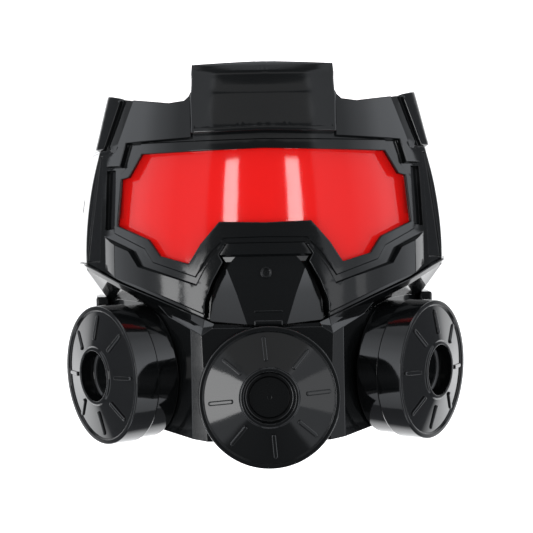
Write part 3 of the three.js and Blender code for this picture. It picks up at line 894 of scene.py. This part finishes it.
# Rows of the nose insert: drop as a share of its height, widths as shares of its half width,
# and offsets from the skin of the middle part and of the side edges
NOSE_ROWS = [
    {"drop": 0.006, "ridge": 0.5, "edge": 0.62, "centre": 0.0, "side": -0.4},
    {"drop": 0.134, "ridge": 0.5, "edge": 0.735, "centre": 0.0, "side": -0.8},
    {"drop": 0.163, "ridge": 0.49, "edge": 0.69, "centre": -1.8, "side": -2.2},
    {"drop": 0.22, "ridge": 0.56, "edge": 0.655, "centre": -1.6, "side": -2.8},
    {"drop": 0.305, "ridge": 0.625, "edge": 0.685, "centre": -1.2, "side": -3.6},
    {"drop": 0.59, "ridge": 0.48, "edge": 0.86, "centre": 0.2, "side": -5.0},
    {"drop": 1.0, "ridge": 0.32, "edge": 0.91, "centre": 1.4, "side": -3.4},
]


def moulding(name, half_rows):
    """A wall behind rows of points, given from the middle to the right, with their mirror images."""
    rows = [[(-x, y, z) for x, y, z in row[:0:-1]] + row for row in half_rows]
    points = np.array([p for row in rows for p in row]) + [0, LEVEL, 0]
    piece = mesh_object(name, points, row_faces(len(rows), len(rows[0])))
    thick = piece.modifiers.new("wall", "SOLIDIFY")
    thick.thickness = WALL * MM
    thick.offset = -1
    thick.use_even_offset = True
    return piece


def nose_plate():
    """The insert, with a flange at its sides and a lap that reaches behind the jaw."""
    top = NOSE_ROWS[0]
    hidden = dict(top, centre=NOSE_LAP_OFFSET, side=NOSE_LAP_OFFSET)
    half = []
    for row in (dict(hidden, drop=top["drop"] - NOSE_LAP / NOSE_HEIGHT), hidden, *NOSE_ROWS):
        level = NOSE_TOP - row["drop"] * NOSE_HEIGHT
        edge_x = row["edge"] * NOSE_HALF_WIDTH
        ridge_x = row["ridge"] * NOSE_HALF_WIDTH
        places = [
            (0.0, row["centre"]),
            (ridge_x, row["centre"]),
            (edge_x, row["side"]),
            (edge_x + 0.3, -NOSE_FLANGE_DEPTH),
            (edge_x + NOSE_FLANGE, -NOSE_FLANGE_DEPTH),
        ]
        points = []
        for x, offset in places:
            y = max(level, seam_level(x) + GAP * 1.4)
            points.append((x, y, float(skin_forward(x, y)) + offset))
        half.append(points)
    lower_edge = half[-1]
    for reach, fall in ((0.5, 0.0), (NOSE_FLANGE, NOSE_LAP_FALL)):
        back = NOSE_FLANGE_DEPTH + fall
        half.append([(x, y - reach, float(skin_forward(x, y)) - back) for x, y, _ in lower_edge])
    return bevelled(moulding("moulded_nose_plate", half), NOSE_BEVEL, angle=11)


def nose_details():
    """The round boss, the cross step and the tab of the nose insert, as closed bodies."""
    level = NOSE_TOP - NOSE_HEIGHT * 0.354
    forward = float(skin_forward(0, level)) - 1.0
    radius = NOSE_HALF_WIDTH * 0.09
    ring = lathed(rounded_profile([
        (0, 0.1, 0),
        (0.6, 0.1, 0),
        (0.6, 0.6, 0.1),
        (radius - 1.1, 0.7, 0.2),
        (radius - 0.9, 1.3, 0.3),
        (radius, 1.3, 0.4),
        (radius, -1.2, 0),
        (0, -1.2, 0),
    ]), "nose_boss")
    step = rounded_box("nose_step", size=(16.5, 1.0, 2.0), radius=0.3)
    tab = rounded_box("nose_tab", size=(16.8, 3.4, 3.0), radius=0.9)
    return [
        moved(ring, 0, level, forward),
        moved(step, 1, NOSE_TOP - NOSE_HEIGHT * 0.81, FACE_DEPTH + 0.1),
        moved(tab, 0.8, JAW_TOP + 2.6, FACE_DEPTH + 0.6),
    ]


def rounded_box(name, size, radius):
    """A block with rounded edges, by its width, height and depth."""
    body = bmesh.new()
    bmesh.ops.create_cube(body, size=1.0)
    bmesh.ops.scale(body, vec=Vector(size) * MM, verts=body.verts)
    bmesh.ops.bevel(body, geom=body.edges, offset=radius * MM, segments=3, profile=0.5, affect="EDGES")
    mesh = bpy.data.meshes.new(name)
    body.to_mesh(mesh)
    body.free()
    return new_object(name, mesh)


def axis_of(side):
    turn = math.radians(SIDE_CANISTER_TURN)
    droop = math.radians(SIDE_CANISTER_DROOP)
    sideways = math.sin(turn)
    axis = Vector((side * sideways * math.cos(droop), -sideways * math.sin(droop), math.cos(turn)))
    return axis.normalized()


CANISTER_LENGTH = CAP_SKIRT + BASE_LENGTH + GAP
SEAT_CENTRE = SIDE_CANISTER - axis_of(1) * (CANISTER_LENGTH + GAP)


def seat_forward(x, y):
    axis = axis_of(1)
    return SEAT_CENTRE.z - (axis.x * (x - SEAT_CENTRE.x) + axis.y * (y - SEAT_CENTRE.y)) / axis.z


# The jaw from the muzzle's middle to the far edge of the seat: levels of the ledge over the muzzle's
# top and of the low edge over its bottom, as shares of the seam's rise
JAW_COLUMNS = [
    {"across": 0.0, "ledge": 0.0, "low": 0.0},
    {"across": JAW_HALF_WIDTH * 0.84, "ledge": 0.0, "low": 0.0},
    {"across": JAW_HALF_WIDTH, "ledge": -0.1, "low": 0.0},
    {"across": JAW_HALF_WIDTH * 1.16, "ledge": -0.003, "low": 0.041},
    {"across": JAW_HALF_WIDTH * 1.5, "ledge": 0.185, "low": 0.128},
    {"across": SEAT_CENTRE.x + CANISTER_RADIUS * 0.04, "ledge": 0.397, "low": 0.236},
    {"across": SEAT_CENTRE.x + CANISTER_RADIUS * 0.37, "ledge": 0.438, "low": 0.324},
    {"across": SEAT_CENTRE.x + CANISTER_RADIUS * 0.52, "ledge": 0.413, "low": 0.365},
]
MUZZLE_COLUMNS = 3


def jaw_housing():
    def forward_of(x, y, column):
        if column < MUZZLE_COLUMNS:
            return JAW_FRONT
        return min(JAW_FRONT - JAW_SETBACK, seat_forward(x, y))

    seam = [(x, y, float(skin_forward(x, y))) for x, y in seam_half[:-1]]
    ledge = []
    low = []
    for i, column in enumerate(JAW_COLUMNS):
        x = column["across"]
        high_y = JAW_TOP + column["ledge"] * SEAM_RISE
        low_y = JAW_LOW + column["low"] * SEAM_RISE
        low_x = x * JAW_LOW_TAPER if i == MUZZLE_COLUMNS - 1 else x
        ledge.append((x, high_y, forward_of(x, high_y, i)))
        low.append((low_x, low_y, forward_of(low_x, low_y, i)))
    back = []
    for i, (x, y, z) in enumerate(low):
        share = max(i - MUZZLE_COLUMNS + 1, 0) / (len(low) - MUZZLE_COLUMNS)
        reach = CHIN_DEPTH + (JAW_RETURN - CHIN_DEPTH) * share
        back.append((x * CHIN_TAPER, y + CHIN_RISE, max(z - reach, 0)))
    rim_x = float(half_width(seam_half[-2][1]))
    seam.append((rim_x, seam_level(rim_x), JAW_RIM_LIFT))
    ledge.append((JAW_RIM_HALF_WIDTH, ledge[-1][1] + LEDGE_RIM_RISE, JAW_RIM_LIFT))
    low.append((JAW_RIM_HALF_WIDTH, JAW_RIM_LOW, JAW_RIM_LIFT))
    back.append((JAW_RIM_HALF_WIDTH - JAW_RETURN, JAW_RIM_LOW + CHIN_RISE, JAW_RIM_LIFT))
    lip = [tuple((np.array(seam[i]) + np.array(ledge[i])) / 2) for i in range(MUZZLE_COLUMNS)]
    for x, y, _ in seam[MUZZLE_COLUMNS:]:
        lip_y = y - JAW_LIP
        lip_x = x * float(half_width(lip_y) / half_width(y))
        lip.append((lip_x, lip_y, float(skin_forward(lip_x, lip_y)) - JAW_LIP_INSET))
    lip[-1] = (*lip[-1][:2], JAW_RIM_LIFT)
    return bevelled(moulding("moulded_jaw_housing", [seam, lip, ledge, low, back]), JAW_BEVEL, angle=12)


# Section of the lip under the seam: drop as a share of its height, and how far it stands out
LIP_SECTION = [
    {"drop": 0.02, "out": -1.0},
    {"drop": 0.04, "out": 0.9},
    {"drop": 0.1, "out": 1.2},
    {"drop": 0.18, "out": 1.3},
    {"drop": 0.28, "out": 1.2},
    {"drop": 1.3, "out": -2.0},
    {"drop": 1.4, "out": -2.4},
    {"drop": 1.46, "out": -3.4},
]


def jaw_bead(side):
    """The lip under the seam, from the muzzle to the rim, as a closed strip that grows out of the jaw."""
    start = JAW_HALF_WIDTH * 0.97
    arcs = np.linspace(arc_of(start, seam_level(start)), RIM_ARC - GAP, LIP_STEPS)
    across = bare_skin(arcs, np.zeros(LIP_STEPS))[:, 0]
    levels = np.array([seam_level(x) for x in across])
    full = np.minimum((arcs - arcs[0]) / LIP_GROWTH, 1)
    rows = []
    for row in LIP_SECTION:
        offset = -LIP_ROOT + (row["out"] + LIP_ROOT) * full
        rows.append(skin(arcs, levels - JAW_LIP * row["drop"], offset) + [0, LEVEL, 0])
    points = np.concatenate(rows)
    points[:, 0] *= side
    faces = row_faces(len(rows), LIP_STEPS)
    last = (len(rows) - 1) * LIP_STEPS
    faces += [(last + i, i, i + 1, last + i + 1) for i in range(LIP_STEPS - 1)]
    faces.append(tuple(r * LIP_STEPS for r in range(len(rows)))[::-1])
    faces.append(tuple(r * LIP_STEPS + LIP_STEPS - 1 for r in range(len(rows))))
    if side < 0:
        faces = [face[::-1] for face in faces]
    return mesh_object("jaw_bead", points, faces)


def jaw_block(side):
    """The small moulded block on the jaw's side, over the canister."""
    block = rounded_box("jaw_block", size=(7.6, 7.0, 10.0), radius=1.3)
    return moved(block, side * FACE_HALF_WIDTH * 0.86, JAW_TOP + SEAM_RISE * 0.39, z=36)


def lathed(profile, name):
    """A solid turned about Z from a closed list of radius and height pairs."""
    points = []
    faces = []
    rings = []
    for radius, height in profile:
        if radius < 1e-6:
            rings.append([len(points)] * ROUND_STEPS)
            points.append((0, 0, height))
            continue
        rings.append(list(range(len(points), len(points) + ROUND_STEPS)))
        for i in range(ROUND_STEPS):
            turn = 2 * math.pi * i / ROUND_STEPS
            points.append((radius * math.cos(turn), radius * math.sin(turn), height))
    for one, two in zip(rings, rings[1:]):
        for i in range(ROUND_STEPS):
            j = (i + 1) % ROUND_STEPS
            face = list(dict.fromkeys((one[i], two[i], two[j], one[j])))
            if len(face) > 2:
                faces.append(tuple(face))
    return mesh_object(name, points, faces)


def fillet(a, corner, b, radius, steps=4):
    """Points of a rounded corner between two straight stretches of a profile."""
    a, corner, b = (np.array(p, float) for p in (a, corner, b))
    one = (a - corner) / np.linalg.norm(a - corner)
    two = (b - corner) / np.linalg.norm(b - corner)
    result = []
    for i in range(steps + 1):
        t = i / steps
        p = corner + one * radius * (1 - t) ** 2 + two * radius * t**2
        result.append(tuple(p))
    return result


def rounded_profile(corners):
    """A profile whose corners have their own radius: rows of radius, height and rounding."""
    result = [corners[0][:2]]
    for before, here, after in zip(corners, corners[1:], corners[2:]):
        if here[2]:
            result += fillet(before[:2], here[:2], after[:2], here[2])
        else:
            result.append(here[:2])
    result.append(corners[-1][:2])
    return result


def canister_cap(prefix):
    cone_foot = CANISTER_RADIUS - RIM_WIDTH
    lip_outer = CUP_RADIUS + LIP_WIDTH
    floor = FACE_RISE - CUP_DEPTH
    slope = (FACE_RISE - 0.9 + FACE_SUNK) / (lip_outer + 0.6 - cone_foot)
    profile = rounded_profile([
        (0, floor - 0.7, 0),
        (1.0, floor - 0.7, 0),
        (1.0, floor, 0.3),
        (CUP_RADIUS - 3.4, floor, 0.3),
        (CUP_RADIUS - 2.8, floor - 0.5, 0.3),
        (CUP_RADIUS - 1.4, floor - 0.5, 0.3),
        (CUP_RADIUS, floor + 0.6, 0.8),
        (CUP_RADIUS, FACE_RISE, 0.5),
        (lip_outer, FACE_RISE, 0.7),
        (lip_outer + 0.6, FACE_RISE - 1.1, 0.3),
        (cone_foot, -FACE_SUNK, 0.5),
        (cone_foot + 0.4, 0, 0.4),
        (CANISTER_RADIUS, 0, 0.9),
        (CANISTER_RADIUS, -CAP_SKIRT + 0.9, 0.4),
        (CANISTER_RADIUS - 0.6, -CAP_SKIRT, 0.3),
        (CANISTER_RADIUS - WALL, -CAP_SKIRT, 0.3),
        (CANISTER_RADIUS - WALL, -FACE_SUNK - WALL, 0),
        (lip_outer + 0.6, FACE_RISE - 0.9 - WALL, 0),
        (lip_outer, floor - WALL + 1.2, 0),
        (0, floor - WALL + 1.2, 0),
    ][::-1])
    name = f"{prefix}_ribbed_cap"
    ribs = [canister_rib(cone_foot, slope, i) for i in range(RIB_COUNT)]
    return joined(name, [lathed(profile, name)] + ribs)


# Layers of a rib from its root to its top: inset in millimetres and height as a share of the rib's
RIB_LAYERS = [
    {"inset": 0.0, "height": -0.5},
    {"inset": 0.0, "height": 0.3},
    {"inset": 0.12, "height": 0.65},
    {"inset": 0.36, "height": 0.9},
    {"inset": 0.7, "height": 1.0},
]


def canister_rib(cone_foot, slope, number):
    """A round-ended bar that lies along the cone, with soft edges."""
    half = RIB_WIDTH / 2
    blunt = half * 0.5
    turns = np.linspace(-math.pi / 2, math.pi / 2, 9)
    outline = [(RIB_OUTER - half + half * math.cos(t), half * math.sin(t)) for t in turns]
    outline += [(RIB_INNER + blunt - blunt * math.cos(t), half * math.sin(t)) for t in turns[::-1]]
    points = []
    middle = (RIB_INNER + RIB_OUTER) / 2
    for layer in RIB_LAYERS:
        inset = layer["inset"]
        height = RIB_HEIGHT * layer["height"]
        for x, y in outline:
            inset_x = x - math.copysign(min(inset, abs(x - middle)), x - middle)
            inset_y = y - math.copysign(min(inset, abs(y)), y)
            points.append((inset_x, inset_y, -FACE_SUNK + slope * (inset_x - cone_foot) + height))
    count = len(outline)
    top = (len(RIB_LAYERS) - 1) * count
    faces = ring_faces([(row, row + 1) for row in range(len(RIB_LAYERS) - 1)], count)
    faces.append(tuple(range(top, top + count)))
    faces.append(tuple(range(count))[::-1])
    rib = mesh_object(f"rib_{number}", points, faces)
    rib.data.transform(Matrix.Rotation(2 * math.pi * number / RIB_COUNT, 4, "Z"))
    return rib


def joined(name, pieces):
    """One object out of several, as separate closed bodies of its mesh."""
    first, *others = pieces
    body = bmesh.new()
    body.from_mesh(first.data)
    for other in others:
        body.from_mesh(other.data)
        bpy.data.objects.remove(other)
    body.to_mesh(first.data)
    body.free()
    first.name = name
    return first


def canister_base(prefix):
    radius = CANISTER_RADIUS - CANISTER_STEP
    top = -CAP_SKIRT - GAP
    bottom = top - BASE_LENGTH
    profile = rounded_profile([
        (0, bottom + WALL, 0),
        (radius - WALL, bottom + WALL, 1.0),
        (radius - WALL, top, 0.3),
        (radius, top, 0.3),
        (radius, bottom, 1.6),
        (0, bottom, 0),
    ])
    return lathed(profile, f"{prefix}_canister_drum")


def place_canister(prefix, centre, axis, spin):
    turn = Vector((0, 0, 1)).rotation_difference(axis)
    spun = turn @ Quaternion((0, 0, 1), math.radians(spin))
    matrix = Matrix.Translation(centre * MM) @ spun.to_matrix().to_4x4()
    for piece, node in ((canister_cap(prefix), "cap"), (canister_base(prefix), "base")):
        piece.data.transform(matrix)
        smooth(piece, 35)
        finished(piece, canister_black, "black_canister", f"{prefix}_canister_{node}")


# Assembly
shell = joined("moulded_face_shell", [face_shell(), visor_wall()])
finished(smooth(shell), shell_black, "black_shell", "face_shell")
finished(smooth(brow_plate()), shell_black, "black_shell", "brow_plate")
lens = finished(smooth(visor_lens()), visor_red, "red_lens", "visor_lens")
finished(smooth(nose_plate(), 20), shell_black, "black_shell", "nose_plate")
finished(smooth(joined("nose_insert_details", nose_details())), shell_black, "black_shell")
finished(smooth(jaw_housing(), 20), shell_black, "black_shell", "jaw_housing")
jaw_details = [part(side) for part in (jaw_bead, jaw_block) for side in (-1, 1)]
finished(smooth(joined("jaw_beads_and_blocks", jaw_details)), shell_black, "black_shell")
for node in ("lens_bracket_left", "lens_bracket_right"):
    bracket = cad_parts[node]
    for material_slot in bracket.material_slots:
        material_slot.material = shell_black

front_centre = Vector((0, FRONT_CANISTER_LEVEL + LEVEL, JAW_FRONT + GAP + CANISTER_LENGTH))
place_canister("front", front_centre, Vector((0, 0, 1)), FRONT_CANISTER_SPIN)
for prefix, side in (("left", -1), ("right", 1)):
    centre = Vector((side * SIDE_CANISTER.x, SIDE_CANISTER.y + LEVEL, SIDE_CANISTER.z))
    place_canister(prefix, centre, axis_of(side), 0)


# Stage: a pale floor with a painted glow round the mask and painted grey shade farther out, soft light from
# the sides and lamps beside the camera
# The floor's glow is painted light: an emission strongest within LIT_REACH of the middle and gone past
# DIM_REACH
FLOOR_REACH = 6.0
LIT_REACH = 0.185
DIM_REACH = 0.24
FLOOR_GLOW = 1.3


def painted_glow_floor():
    # Painted light and shade: the floor glows round the mask, lighting it from below and behind the lens,
    # and turns dark grey farther out
    mesh = bpy.data.meshes.new("painted_glow_floor")
    signs = ((-1, -1), (1, -1), (1, 1), (-1, 1))
    corners = [(across * FLOOR_REACH, along * FLOOR_REACH, 0) for across, along in signs]
    mesh.from_pydata(corners, [], [(0, 1, 2, 3)])
    floor = new_object("painted_glow_floor", mesh)
    material, nodes, links, shader = new_material("floor_painted_glow_and_shade")
    shader.inputs["Roughness"].default_value = 0.8
    shader.inputs["Emission Color"].default_value = (1, 1, 1, 1)
    split = nodes.new("ShaderNodeSeparateXYZ")
    links.new(nodes.new("ShaderNodeTexCoord").outputs["Object"], split.inputs["Vector"])
    sideways = worked_out(nodes, links, "ABSOLUTE", split.outputs["X"])
    endways = worked_out(nodes, links, "ABSOLUTE", split.outputs["Y"])
    farther = worked_out(nodes, links, "MAXIMUM", sideways, endways)
    # Painted glow: emission strength falls from FLOOR_GLOW near the mask to nothing farther out
    painted_glow_fade = map_range(nodes, links, farther, LIT_REACH, DIM_REACH, FLOOR_GLOW, 0.0)
    links.new(painted_glow_fade, shader.inputs["Emission Strength"])
    # Painted shade: the floor's colour turns from near white to dark grey as the glow fades
    shade = nodes.new("ShaderNodeValToRGB")
    shade.color_ramp.elements[0].color = (0.22, 0.22, 0.23, 1)
    shade.color_ramp.elements[1].color = (0.95, 0.95, 0.95, 1)
    links.new(painted_glow_fade, shade.inputs["Fac"])
    links.new(shade.outputs["Color"], shader.inputs["Base Color"])
    mesh.materials.append(material)


def cool(value):
    """A slightly bluish grey."""
    return (value, value * 1.04, value * 1.1, 1)


# The room's light by how far a direction points to the left or right
ROOM_LIGHT = [
    {"side": 0.3, "light": 0.08},
    {"side": 0.33, "light": 0.38},
    {"side": 0.58, "light": 0.34},
    {"side": 0.76, "light": 0.64},
    {"side": 0.86, "light": 1.0},
    {"side": 0.97, "light": 1.0},
    {"side": 0.985, "light": 0.1},
]
ROOM_STRENGTH = 2.0
LOW_LIGHT_SIDE = 0.86  # the place in the table above that the low light is as bright as


def soft_world():
    """A room that is dark overhead and bright towards its sides, with some light low at its ends."""
    world = bpy.data.worlds.new("soft_world")
    bpy.context.scene.world = world
    world.use_nodes = True
    nodes = world.node_tree.nodes
    links = world.node_tree.links
    split = nodes.new("ShaderNodeSeparateXYZ")
    links.new(nodes.new("ShaderNodeTexCoord").outputs["Generated"], split.inputs["Vector"])
    sideways = worked_out(nodes, links, "ABSOLUTE", split.outputs["X"])
    endways = worked_out(nodes, links, "ABSOLUTE", split.outputs["Y"])
    low_light = map_range(nodes, links, endways, 0.92, 0.97, 0.0, LOW_LIGHT_SIDE)
    shade = nodes.new("ShaderNodeValToRGB")
    steps = shade.color_ramp.elements
    steps[0].position = 0.0
    steps[0].color = cool(0.06)
    steps[1].position = 1.0
    steps[1].color = cool(0.1)
    for row in ROOM_LIGHT:
        steps.new(row["side"]).color = cool(row["light"])
    links.new(worked_out(nodes, links, "MAXIMUM", sideways, low_light), shade.inputs["Fac"])
    links.new(shade.outputs["Color"], nodes["Background"].inputs["Color"])
    nodes["Background"].inputs["Strength"].default_value = ROOM_STRENGTH


def soft_lamp(name, place, size, radiance):
    """A rectangular lamp over the mask, turned about Y towards it."""
    across, along, height = place
    light = bpy.data.lights.new(name, "AREA")
    light.shape = "RECTANGLE"
    light.size, light.size_y = size
    light.energy = radiance * math.pi * size[0] * size[1]
    lamp = new_object(name, light)
    lamp.location = place
    lamp.rotation_euler = (0, math.atan2(across, height), 0)
    return lamp


def shine_only_on(lamps, piece):
    """Keeps lamps to one piece, as with shades beside the others."""
    lit = bpy.data.collections.new("lit_by_strips")
    lit.objects.link(piece)
    for lamp in lamps:
        lamp.light_linking.receiver_collection = lit


CAMERA_TARGET = Vector((0.0012, -0.0009, 0.06))
CAMERA_DISTANCE = 2.0
CAMERA_LEFT = 1.3
CAMERA_ROLL = 1.0
VIEW_WIDTH = 0.59 * 533 * MM  # what the frame spans at the camera's distance from its target


def photo_camera():
    camera_data = bpy.data.cameras.new("photo_camera")
    camera_data.sensor_width = 36.0
    camera_data.lens = 36.0 * CAMERA_DISTANCE / VIEW_WIDTH
    camera_data.clip_end = 20.0
    camera = new_object("photo_camera", camera_data)
    swing = math.radians(CAMERA_LEFT)
    camera.location = CAMERA_TARGET + Vector((-math.sin(swing), 0, math.cos(swing))) * CAMERA_DISTANCE
    aim = Matrix.Rotation(-swing, 4, "Y") @ Matrix.Rotation(math.radians(-CAMERA_ROLL), 4, "Z")
    camera.rotation_euler = aim.to_euler()
    bpy.context.scene.camera = camera


painted_glow_floor()
soft_world()
left_strip = soft_lamp("left_strip", place=(-0.325, -0.12, 2.1), size=(0.19, 1.0), radiance=15)
right_strip = soft_lamp("right_strip", place=(0.365, -0.12, 2.1), size=(0.19, 1.0), radiance=15)
shine_only_on([left_strip, right_strip], lens)
soft_lamp("brow_panel", place=(0.0, 0.95, 2.1), size=(1.6, 0.7), radiance=0.35)
soft_lamp("left_box", place=(-0.21, -0.08, 0.5), size=(0.1, 0.2), radiance=5)
soft_lamp("right_box", place=(0.22, -0.07, 0.5), size=(0.07, 0.16), radiance=0.8)
photo_camera()
bpy.context.scene.view_settings.view_transform = "Standard"
